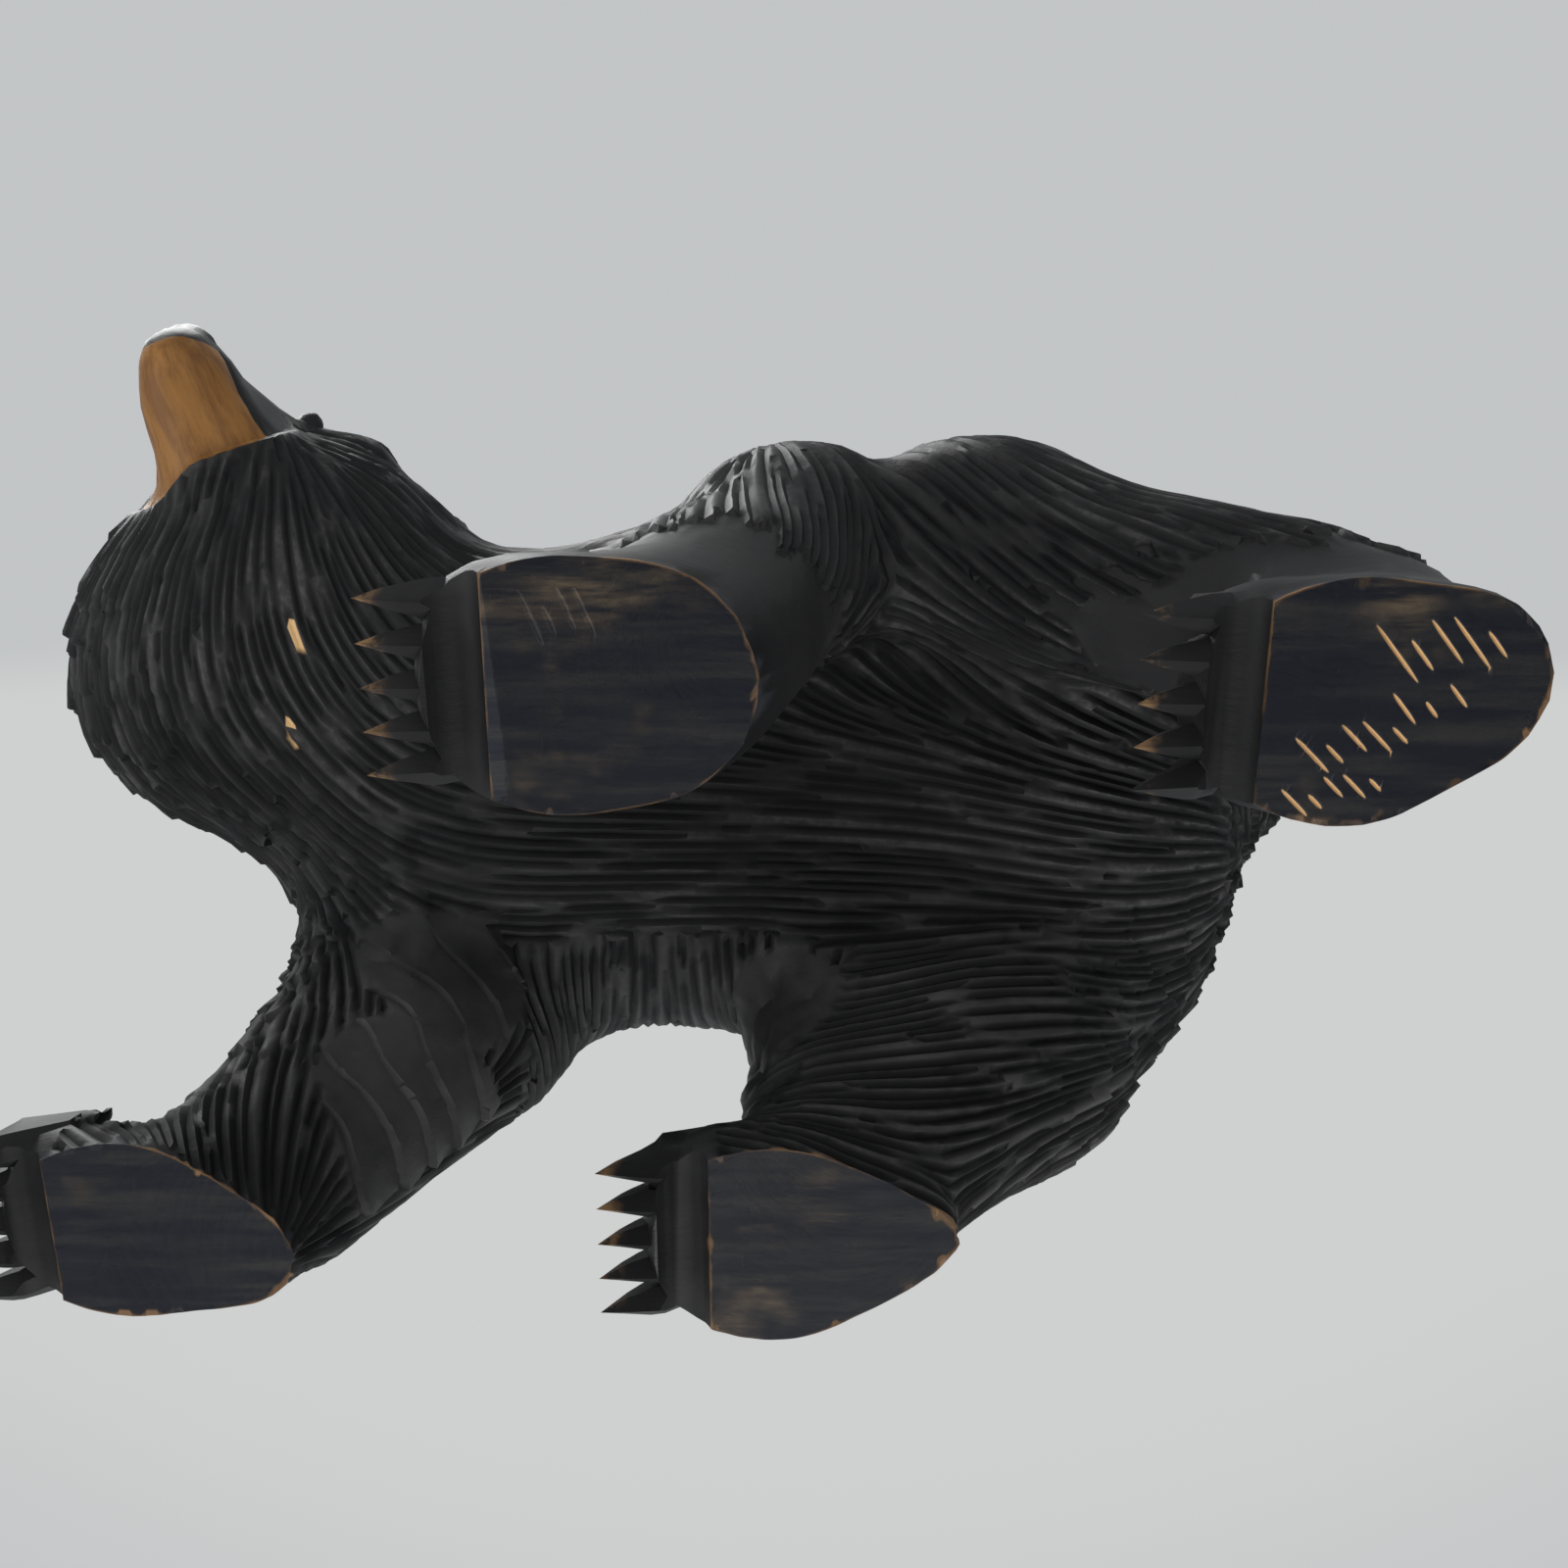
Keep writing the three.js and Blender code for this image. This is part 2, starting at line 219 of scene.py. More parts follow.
def paw_frame(points):
    """For each point: how far it lies ahead of its nearest paw's toe line, and across that paw."""
    ahead = np.full(len(points), -1e3)
    across = np.full(len(points), 1e3)
    best = np.full(len(points), 1e9)
    for x, toe in TOE_LINES.values():
        gap = np.hypot(points[:, 0] - x, points[:, 1] - toe - 20)
        closer = gap < best
        best[closer] = gap[closer]
        ahead[closer] = toe - points[closer, 1]
        across[closer] = points[closer, 0] - x
    return ahead, across


def head_frame(points):
    from_head = points - HEAD
    return from_head @ FACE, from_head @ FACE_SIDE, from_head[:, 2]


def muzzle_depth(points):
    """How far ahead of the fur's edge a point on the muzzle lies. It slants back on the right cheek."""
    ahead, side, up = head_frame(points)
    edge = 45 + 9 * smoothstep(side, -24, 2) + 0.9 * np.maximum(up + 6, 0)
    return ahead - edge


def bareness(points, normal):
    """How little fur a place carries: all bare on soles, toes, muzzle, eyes and ear hollows."""
    ahead, across = paw_frame(points)
    z = points[:, 2]
    sole = (normal[:, 2] < -0.8) & (z < 12)
    toes = (ahead > -2) & (z < 31) & (np.abs(across) < 42)
    bare = np.maximum(np.maximum(sole, toes), smoothstep(muzzle_depth(points), -1, 1))
    for ear, eye in zip(EARS, EYES):
        bare = np.maximum(bare, 1 - smoothstep(np.linalg.norm(points - ear, axis=1), 11, 15))
        bare = np.maximum(bare, 1 - smoothstep(np.linalg.norm(points - eye, axis=1), 6, 9))
    return bare


# The lie of the fur: each source pulls the cuts along a direction, or away from a point
ALONG, AWAY = 0, 1
FUR = [
    (AWAY, (75, -185, 130), 48, (136, -146, 165), 3.0),
    (AWAY, (75, -185, 215), 55, (166, -206, 160), 3.0),
    (AWAY, (106, 0, 100), 38, tuple(ELBOW), 4.0),
    (AWAY, (104, 92, 100), 44, tuple(KNEE), 4.0),
    (ALONG, (88, -20, 40), 22, (-0.1, -0.45, -1.0), 2.0),
    (ALONG, (84, 160, 40), 26, (0, 0.5, -1.0), 2.0),
    (ALONG, (-76, -135, 75), 46, (-0.15, -0.5, -0.85), 2.5),
    (ALONG, (-78, 60, 75), 38, (0.1, 0.8, 0.5), 3.0),
    (ALONG, (6, -70, 98), 32, (0, 1, 0), 5.0),
    (ALONG, (6, 10, 98), 32, (0, 1, 0), 5.0),
    (ALONG, (0, 90, 102), 36, (-0.1, 1, 0), 5.0),
    (ALONG, (15, -145, 125), 45, (-0.45, 0.85, -0.25), 1.6),
    (ALONG, (0, 168, 165), 45, (-0.1, 0.25, -1.0), 2.0),
]
# The right side of the belly is fluted across, in a fan that ends at a line along the belly.
FLUTES = {"inner_edge": -30, "outer_edge": -112, "front": -90, "rear": 24, "top": 170, "fan": 300.0}


def fluted(points, normal):
    x, y, z = points.T
    wide = (x < FLUTES["inner_edge"]) & (x > FLUTES["outer_edge"])
    long = (y > FLUTES["front"]) & (y < FLUTES["rear"])
    return wide & long & (z > 85) & (z < FLUTES["top"]) & (normal[:, 2] < 0.4)


def fur_lie(points, normal):
    side = 1 - np.abs(normal[:, 2])
    lie = np.stack([np.zeros(len(points)), np.full(len(points), 0.8), -0.5 * side], 1)
    for kind, centre, reach, aim, pull in FUR:
        way = unit(points - np.array(aim)) if kind == AWAY else unit(np.array([aim]))
        lie = lie + (pull * near(points, centre, reach))[:, None] * way
    middle = (FLUTES["front"] + FLUTES["rear"]) / 2
    count = len(points)
    spread_out = (points[:, 1] - middle) / FLUTES["fan"]
    fan = np.stack([-np.ones(count), spread_out, np.full(count, 0.4)], 1)
    lie = np.where(fluted(points, normal)[:, None], fan, lie)
    lie = lie - (lie * normal).sum(1)[:, None] * normal
    return unit(lie)


def fur_sizes(points):
    """Spacing, depth and reach of the gouge cuts that suit each place."""
    head = near(points, on_head(10, 0, -15), 52)
    seen = 1 - smoothstep(points[:, 2], 135, 195)
    spacing = 4.2 - 1.1 * seen - 0.5 * head
    depth = 1.75 - 0.1 * seen - 0.45 * head
    reach = 85 - 25 * head
    return spacing, depth, reach


# Gouge cuts
CUT_STEP = 1.6


def spread(points, normal, lie, spacing, reach, bare):
    """Lines of cuts along the fur, evenly apart, as samples: place, way, share of the line, line."""
    tree = kd_tree(points)
    place, normal, lie = points.tolist(), normal.tolist(), lie.tolist()
    taken = {}
    cell = 4.5

    def crowded(x, y, z, gap):
        i, j, k = int(x // cell), int(y // cell), int(z // cell)
        limit = gap * gap
        for a in (i - 1, i, i + 1):
            for b in (j - 1, j, j + 1):
                for c in (k - 1, k, k + 1):
                    for u, v, w in taken.get((a, b, c), ()):
                        if (u - x) ** 2 + (v - y) ** 2 + (w - z) ** 2 < limit:
                            return True
        return False

    def follow(seed, sign, length):
        x, y, z = place[seed]
        gap = 0.62 * spacing[seed]
        line = []
        for _ in range(int(length / CUT_STEP)):
            (cx, cy, cz), index, _ = tree.find((x, y, z))
            nx, ny, nz = normal[index]
            off = (x - cx) * nx + (y - cy) * ny + (z - cz) * nz
            x, y, z = x - off * nx, y - off * ny, z - off * nz
            if bare[index] > 0.5 or crowded(x, y, z, gap):
                break
            dx, dy, dz = lie[index]
            line.append((x, y, z, dx, dy, dz))
            x, y, z = x + sign * CUT_STEP * dx, y + sign * CUT_STEP * dy, z + sign * CUT_STEP * dz
        return line

    samples, shares, names = [], [], []
    total = 0
    for seed in RNG.permutation(len(place)):
        if bare[seed] > 0.5 or crowded(*place[seed], spacing[seed]):
            continue
        length = reach[seed] * RNG.uniform(0.55, 1.15)
        line = follow(seed, -1, 0.45 * length)[::-1][:-1] + follow(seed, 1, 0.55 * length)
        if len(line) < 5:
            continue
        for x, y, z, *_ in line:
            taken.setdefault((int(x // cell), int(y // cell), int(z // cell)), []).append((x, y, z))
        samples += line
        shares += list(np.linspace(0, 1, len(line)))
        names += [total] * len(line)
        total += 1
    samples = np.array(samples)
    return samples[:, :3], unit(samples[:, 3:]), np.array(shares), np.array(names)


def grid(points, size):
    cells = {}
    key = np.floor(points / size).astype(np.int64)
    order = np.lexsort(key.T)
    key = key[order]
    starts = np.nonzero(np.r_[True, (np.diff(key, axis=0) != 0).any(1)])[0]
    for first, last in zip(starts, np.r_[starts[1:], len(key)]):
        cells[tuple(key[first])] = order[first:last]
    return cells


def scatter(points, weight, spacing):
    """Places picked at random, at most one in each cell of the spacing."""
    order = RNG.permutation(len(points))
    order = order[RNG.random(len(order)) < weight[order]]
    _, first = np.unique(np.floor(points[order] / spacing).astype(np.int64), axis=0, return_index=True)
    return order[np.sort(first)]


CELL = 18.0
TUFT_SPACING = 12
TUFT_LENGTH, TUFT_WIDTH, TUFT_HEIGHT = (24, 32), (12, 18), 4.6


def press(points, cells, centre, way, normal, length, width, depth, profile):
    """The strongest of all the strokes at each point."""
    result = np.zeros(len(points))
    side = np.cross(normal, way)
    steps = [(i, j, k) for i in (-1, 0, 1) for j in (-1, 0, 1) for k in (-1, 0, 1)]
    for n in range(len(centre)):
        i, j, k = np.floor(centre[n] / CELL).astype(np.int64)
        close = [cells[(i + a, j + b, k + c)] for a, b, c in steps if (i + a, j + b, k + c) in cells]
        close = np.concatenate(close)
        gap = points[close] - centre[n]
        u = gap @ way[n] / (length[n] / 2)
        v = gap @ side[n] / (width[n] / 2)
        inside = (np.abs(u) < 1) & (np.abs(v) < 1) & (np.abs(gap @ normal[n]) < 9)
        spots = close[inside]
        result[spots] = np.maximum(result[spots], depth[n] * profile(u[inside], v[inside]))
    return result


def tuft(u, v):
    """A lock that rises along the fur and breaks off at its tip."""
    rise = np.clip((u + 1) / 1.7, 0, 1) ** 1.3 * (1 - smoothstep(u + 0.35 * np.abs(v), 0.7, 0.85))
    return rise * np.clip(1 - v * v, 0, 1)


# Broad tiles step down the inside of the right foreleg, and scales cover the inside of the right knee.
FORELEG_DOWN = unit(np.array([-0.15, -0.5, -0.85]))
TILE_STEP, TILE_HEIGHT = 13.5, 3.2
SCALE_SPACING, SCALE_RADIUS, SCALE_HEIGHT = 12.5, 8.5, 2.4


def tiled(points, normal):
    """How far a place belongs to the tiles, and to the scales."""
    inner = np.maximum(near(points, (-52, -118, 98), 27), near(points, (-78, -128, 58), 30))
    inner = inner * smoothstep(normal @ np.array([0.8, 0.4, -0.45]), 0.1, 0.4)
    knee = near(points, (-62, 4, 88), 24) * smoothstep(-normal[:, 1], -0.35, 0.0)
    return smoothstep(inner, 0.42, 0.5), smoothstep(knee, 0.42, 0.5)


def tile_height(points, normal):
    tiles, scales = tiled(points, normal)
    down = points @ FORELEG_DOWN
    across = points[:, 1] * 0.85 - points[:, 2] * 0.5
    bend = 3.5 * np.sin(across / 13) + 2.0 * np.sin(across / 5.5 + down / 9)
    row = (down + bend) / TILE_STEP
    lip = row - np.floor(row)
    tile = TILE_HEIGHT * (lip**1.4 - 0.4)
    scaly = np.nonzero(scales > 0)[0]
    middles = points[scatter(points, scales, SCALE_SPACING)]
    _, gap = nearest(middles, points[scaly])
    scale = np.zeros(len(points))
    scale[scaly] = SCALE_HEIGHT * (0.6 - (gap / SCALE_RADIUS) ** 2)
    return tiles * tile + scales * scale


# The lip rises forward along the muzzle, a little lower on the bear's left.
LIP_LEVEL, LIP_SLOPE, LIP_LEAN = -40.0, -0.3, 0.16

# The fur of the left legs ends in a fringe of tips above the smooth shanks.
FRINGE_HEIGHT = 2.0


def fringe(points):
    """How far above the end of the leg's fur a place lies, in millimetres, on the left legs."""
    inner = smoothstep(-points[:, 0], -112, -84)
    edge = 46 + 24 * inner
    return np.where((points[:, 0] > 30) & (points[:, 2] < 110), points[:, 2] - edge, 40.0)


def toe_grooves(points, normal):
    """Cuts that part the toes on top of the paws."""
    ahead, across = paw_frame(points)
    place = across / DIGIT_SPACING - 0.5
    gap = DIGIT_SPACING * np.abs(place - np.round(place))
    along = smoothstep(ahead, -13, -4) * (1 - smoothstep(ahead, 14, 19))
    top = (np.abs(across) < 19) & (points[:, 2] > 5) & (points[:, 2] < 40)
    return 2.8 * np.clip(1 - gap / 3.4, 0, 1) * along * top * smoothstep(normal[:, 2], -0.5, 0.0)


def mouth_line(points):
    """The cut between the upper lip and the bare underside of the muzzle."""
    ahead, side, up = head_frame(points)
    level = up + LIP_SLOPE * ahead + LIP_LEAN * side - LIP_LEVEL
    along = smoothstep(ahead, 54, 60) * (1 - smoothstep(ahead, 80, 88))
    return 1.3 * np.exp(-((level / 1.1) ** 2)) * along


def carve(points, triangles, guide):
    """Cuts the fur, the tiles and the tufts. Returns the carved points and what was done at each."""
    normal = normals(points, triangles)
    bare = bareness(points, normal)
    cells = grid(points, CELL)
    z = points[:, 2]

    # Raised tufts on the ruff, the rump, the back of the right thigh and the chest
    rump = smoothstep(points[:, 1], 115, 165) * smoothstep(z, 60, 110)
    back = 0.4 * smoothstep(normal[:, 2], 0.1, 0.6)
    ruff = near(points, (45, -240, 165), 42)
    thigh = near(points, (-80, 115, 100), 40)
    chest = near(points, (-40, -180, 110), 40)
    shaggy = np.clip(np.maximum.reduce([ruff, rump, thigh, chest, back]), 0, 1) * (1 - bare)
    roots = scatter(points, np.clip(1.2 * shaggy, 0, 1), TUFT_SPACING)
    count = len(roots)
    raised = press(
        points, cells, points[roots], fur_lie(points[roots], normal[roots]), normal[roots],
        RNG.uniform(*TUFT_LENGTH, count), RNG.uniform(*TUFT_WIDTH, count),
        TUFT_HEIGHT * shaggy[roots] * RNG.uniform(0.5, 1.1, count), tuft,
    )

    # Long cuts along the fur
    g_points, g_triangles = guide
    g_normal = normals(g_points, g_triangles)
    smooth = np.maximum.reduce(tiled(g_points, g_normal)) > 0.5
    g_bare = np.maximum(bareness(g_points, g_normal), smooth | (fringe(g_points) < -16))
    spacing, _, reach = fur_sizes(g_points)
    g_lie = fur_lie(g_points, g_normal)
    at, way, share, line = spread(g_points, g_normal, g_lie, spacing, reach, g_bare)
    which, _ = nearest(at, points)
    gap = points - at[which]
    gap = gap - (gap * way[which]).sum(1)[:, None] * way[which]
    wide, deep, _ = fur_sizes(points)
    across = np.linalg.norm(gap, axis=1) / (0.62 * wide)
    t = share[which]
    lines = line.max() + 1
    strength = RNG.uniform(0.75, 1.15, lines)[line[which]]
    tip = RNG.uniform(-11, 9, lines)[line[which]]
    enter = (0.35 + 0.65 * smoothstep(t, 0, 0.2)) * (1 - 0.5 * smoothstep(t, 0.88, 1.0))
    pelt = smoothstep(fringe(points) + tip, -0.8, 0.8)
    furred = (1 - bare) * (1 - np.maximum.reduce(tiled(points, normal))) * pelt
    cut = deep * strength * enter * np.clip(1 - across, 0, 1) ** 1.1 * furred

    skirt = FRINGE_HEIGHT * pelt * (1 - smoothstep(fringe(points), 8, 34)) * (1 - bare)
    muzzle = muzzle_depth(points)
    below = 1 - smoothstep(head_frame(points)[2], -10, 4)
    drop = 2.2 * smoothstep(muzzle, -0.6, 1.2) * (1 - smoothstep(muzzle, 14, 30)) * below
    relief = raised + skirt + tile_height(points, normal) * (1 - bare) - cut - drop
    relief = relief - toe_grooves(points, normal) - mouth_line(points)
    moved = points + normal * relief[:, None]
    moved[:, 2] = np.maximum(moved[:, 2], 0)
    return moved, cut, furred, normal


# Fine piece
def mesh_object(name, points, triangles):
    mesh = bpy.data.meshes.new(name)
    mesh.vertices.add(len(points))
    mesh.vertices.foreach_set("co", ((points + MIDDLE) * MM).ravel())
    mesh.loops.add(len(triangles) * 3)
    mesh.loops.foreach_set("vertex_index", triangles.ravel())
    mesh.polygons.add(len(triangles))
    mesh.polygons.foreach_set("loop_start", np.arange(len(triangles)) * 3)
    mesh.update(calc_edges=True)
    piece = bpy.data.objects.new(name, mesh)
    bpy.context.scene.collection.objects.link(piece)
    return piece


def lighten(piece, triangles_wanted, free):
    """Fewer triangles, kept where the cuts are and wherever free is false."""
    group = piece.vertex_groups.new(name="free")
    group.add(np.nonzero(free)[0].tolist(), 1.0, "REPLACE")
    thin = piece.modifiers.new("thin", "DECIMATE")
    thin.ratio = triangles_wanted / len(piece.data.polygons)
    thin.use_collapse_triangulate = True
    thin.vertex_group = group.name
    done = bpy.data.meshes.new_from_object(piece.evaluated_get(bpy.context.evaluated_depsgraph_get()))
    piece.modifiers.clear()
    piece.vertex_groups.clear()
    old = piece.data
    piece.data = done
    bpy.data.meshes.remove(old)


def paint(piece, name, values):
    layer = piece.data.attributes.new(name, "FLOAT", "POINT")
    layer.data.foreach_set("value", np.asarray(values, np.float32))


def kd_tree(points):
    tree = KDTree(len(points))
    for n, p in enumerate(points.tolist()):
        tree.insert(p, n)
    tree.balance()
    return tree


def nearest(points, wanted):
    """For each wanted place, the nearest of the points and how far it is."""
    tree = kd_tree(points)
    found = [tree.find(p)[1:] for p in wanted.tolist()]
    index, gap = np.array(found).T
    return index.astype(np.int64), gap


# Cuts in the soles: rows of strokes under the left hind paw, a few scratches under the left fore paw
def slants(middle, along, count, pitch, length, lean):
    """A row of strokes side by side about the middle, all leaning one way and none touching the next."""
    along = unit(np.array(along))
    across = np.array([-along[1], along[0]])
    way = unit(across + lean * along)
    row = []
    for n in range(count):
        place = (n - (count - 1) / 2) * pitch
        centre = np.array(middle) + place * along + 1.5 * math.sin(2.1 * n) * across
        reach = 0.5 * length * (0.72 + 0.28 * math.cos(2.4 * n))
        row.append((centre - reach * way, centre + reach * way))
    return row


MARKS = (
    slants((92, 165), (0.15, 1.0), 5, 6.2, 19, 0.6)
    + slants((77, 163), (0.15, 1.0), 3, 6.8, 10, 0.6)
    + slants((67, 145), (0.3, 1.0), 5, 5.6, 13, 0.55)
    + slants((54, 141), (0.3, 1.0), 5, 5.2, 10, 0.55)
)
SCRATCHES = slants((100, -56), (0.1, 1.0), 4, 4.5, 14, 0.3)
MARK_WIDTH, MARK_DEPTH = 0.65, 0.5

# Small chips that show bare wood, three on the throat and one on the back of the right hind leg
CHIPS = np.array([[70, -162, 125], [38, -163, 125], [34, -159, 125], [-84, 118, 90]], float)
CHIP_SIZE = 2.2


def mark_gap(points, marks=MARKS + SCRATCHES):
    """The distance to the nearest mark on a sole."""
    best = np.full(len(points), 1e3)
    for start, end in marks:
        line = end - start
        share = np.clip((points[:, :2] - start) @ line / (line @ line), 0, 1)
        gap = np.linalg.norm(points[:, :2] - start - share[:, None] * line, axis=1)
        best = np.minimum(best, gap + 0.35 * (2 * share - 1) ** 4)
    return best


def is_sole(points, normal):
    ahead, _ = paw_frame(points)
    return (normal[:, 2] < -0.9) & (points[:, 2] < 0.8) & (ahead < 1)


def edge_size(points):
    """Finest in the marks on the soles, then in the fur below; wider on the back and the flat soles."""
    z = points[:, 2]
    size = FINE_EDGE + (BACK_EDGE - FINE_EDGE) * smoothstep(z, 140, 190)
    flat = z < 0.3
    size[flat] = np.where(mark_gap(points[flat]) < 1.4, MARK_EDGE, SOLE_EDGE)
    return size


def wear_light_and_shade(points):
    """The stain's tone: painted shade under the belly and between the legs; lighter where worn on the
    left foreleg, and on the inside of the right legs, where it is also painted light.
    """
    # Lighter stain: wear on the left foreleg, wear and painted light on the inside of the right legs
    worn_and_lit = [
        ((-62, -124, 70), 42, 0.62),
        ((-72, 54, 80), 48, 1.0),
        ((110, -10, 105), 26, 0.3),
        ((92, -10, 55), 26, 0.4),
    ]
    # Painted shade: darker stain under the belly and between the legs
    shaded_hollows = [((10, -40, 97), 45), ((10, 40, 97), 45), ((40, 60, 90), 30), ((0, 110, 100), 40)]
    lightened = np.maximum.reduce([share * near(points, centre, reach) for centre, reach, share in worn_and_lit])
    painted_shade = np.maximum.reduce([near(points, centre, reach) for centre, reach in shaded_hollows])
    return np.clip(0.12 + 0.88 * lightened - 0.12 * painted_shade * (1 - lightened), 0, 1)


def make_bear():
    points, triangles = smooth_base(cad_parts["bear"])
    kept = near(points, NOSE, 15)
    for feature, reach in [(eye, 7) for eye in EYES] + [(ear, 16) for ear in EARS]:
        kept = np.maximum(kept, near(points, feature, reach))
    points = relax(points, triangles, 0.5 * smoothstep(points[:, 2], 38, 60) * (1 - kept), 6)
    guide = (points, triangles)
    points, triangles = refine(points, triangles, edge_size)
    carved, cut, furred, normal = carve(points, triangles, guide)
    sole = is_sole(points, normal)
    mark = np.where(sole, np.clip(1 - mark_gap(points) / MARK_WIDTH, 0, 1), 0)
    carved[:, 2] += MARK_DEPTH * mark
    pale = np.where(sole, np.clip(1 - mark_gap(points, MARKS) / MARK_WIDTH, 0, 1), 0)
    chips, _ = nearest(carved, CHIPS)
    for chip in carved[chips]:
        gap = np.linalg.norm(carved - chip, axis=1)
        pale = np.maximum(pale, np.clip(1 - gap / CHIP_SIZE, 0, 1))
    piece = mesh_object("bear_carving", carved, triangles)
    lighten(piece, MOST_TRIANGLES, ~sole)
    final, _ = arrays(piece.data)
    final = final / MM - MIDDLE
    source, _ = nearest(carved, final)
    rest = points[source]

    edges, _ = edges_of(triangles)
    rim_edges = edges[sole[edges[:, 0]] != sole[edges[:, 1]]]
    low = np.nonzero(final[:, 2] < 14)[0]
    rim = np.full(len(final), 30.0)
    _, rim[low] = nearest(points[np.unique(rim_edges)], final[low])

    paint(piece, "cut", np.clip(cut[source] / 1.3, 0, 1))
    paint(piece, "furred", furred[source])
    paint(piece, "sole", sole[source])
    paint(piece, "mark", pale[source])
    # The stain's tone, carrying wear, painted light and painted shade
    paint(piece, "wear_light_and_shade", wear_light_and_shade(rest))
    paint(piece, "rim", np.clip(rim / 20, 0, 1))
    h_ahead, h_side, h_up = head_frame(rest)
    paint(piece, "ahead", h_ahead / 100)
    paint(piece, "aside", h_side / 100)
    paint(piece, "above", h_up / 100)
    paint(piece, "muzzle", muzzle_depth(rest) / 100)
    ahead, _ = paw_frame(rest)
    paint(piece, "claw", smoothstep(ahead, 17, 31) * (rest[:, 2] < 20))
    piece.data.polygons.foreach_set("use_smooth", np.ones(len(piece.data.polygons), bool))
    piece.data.set_sharp_from_angle(angle=SHARP_TURN)
    return piece


# Materials
class Nodes:
    """Short names for building a node tree."""

    def __init__(self, material):
        material.use_nodes = True
        self.tree = material.node_tree
        self.tree.nodes.clear()

    def new(self, kind, **settings):
        node = self.tree.nodes.new(kind)
        for name, value in settings.items():
            setattr(node, name, value)
        return node

    def link(self, source, target):
        self.tree.links.new(source, target)

    def put(self, socket, value):
        if isinstance(value, bpy.types.NodeSocket):
            self.link(value, socket)
        else:
            socket.default_value = value

    def value(self, name):
        return self.new("ShaderNodeAttribute", attribute_name=name).outputs["Fac"]

    def math(self, operation, a, b=0.0, clamp=False):
        node = self.new("ShaderNodeMath", operation=operation, use_clamp=clamp)
        self.put(node.inputs[0], a)
        self.put(node.inputs[1], b)
        return node.outputs[0]

    def ramp(self, value, low, high, to_low=0.0, to_high=1.0):
        node = self.new("ShaderNodeMapRange", interpolation_type="SMOOTHSTEP")
        self.put(node.inputs[0], value)
        for n, number in enumerate((low, high, to_low, to_high), start=1):
            self.put(node.inputs[n], number)
        return node.outputs[0]

    def mix(self, amount, a, b):
        node = self.new("ShaderNodeMix", data_type="RGBA")
        self.put(node.inputs["Factor"], amount)
        for socket, value in ((node.inputs[6], a), (node.inputs[7], b)):
            self.put(socket, value if isinstance(value, bpy.types.NodeSocket) else (*value, 1))
        return node.outputs[2]

    def noise(self, scale, detail=4.0, roughness=0.55, stretch=(1, 1, 1), turn=0.0):
        """Noise drawn out along the axes by stretch, after a turn about the upright."""
        mapping = self.new("ShaderNodeMapping", vector_type="TEXTURE")
        mapping.inputs["Scale"].default_value = stretch
        mapping.inputs["Rotation"].default_value = (0, 0, turn)
        self.link(self.new("ShaderNodeTexCoord").outputs["Object"], mapping.inputs["Vector"])
        node = self.new("ShaderNodeTexNoise")
        self.link(mapping.outputs[0], node.inputs["Vector"])
        node.inputs["Scale"].default_value = scale
        node.inputs["Detail"].default_value = detail
        node.inputs["Roughness"].default_value = roughness
        return node.outputs["Fac"]


STAIN = (0.0016, 0.0018, 0.0023)
# The next two are the dark and light ends of the stain's tone: painted shade under the belly at the dark
# end, wear and painted light on the legs at the light end
STAIN_DARK_AND_SHADED = (0.0042, 0.0045, 0.0055)
STAIN_WORN_AND_LIT = (0.0760, 0.0750, 0.0740)
# Crest colour: wear with a painted highlight along the crests of the ridges
CREST_WEAR_AND_HIGHLIGHT = (0.062, 0.060, 0.058)
SOLE_STAIN = (0.0135, 0.0162, 0.0235)
SOLE_BRUSHED = (0.042, 0.041, 0.040)
SOLE_WORN = (0.155, 0.118, 0.078)
BARE = (0.30, 0.175, 0.080)
BARE_DARK = (0.15, 0.085, 0.040)
MUZZLE = (0.165, 0.076, 0.019)
MUZZLE_GRAIN = (0.092, 0.039, 0.010)
MUZZLE_SMUDGE = (0.036, 0.019, 0.009)
CUT_WOOD = (0.42, 0.27, 0.13)


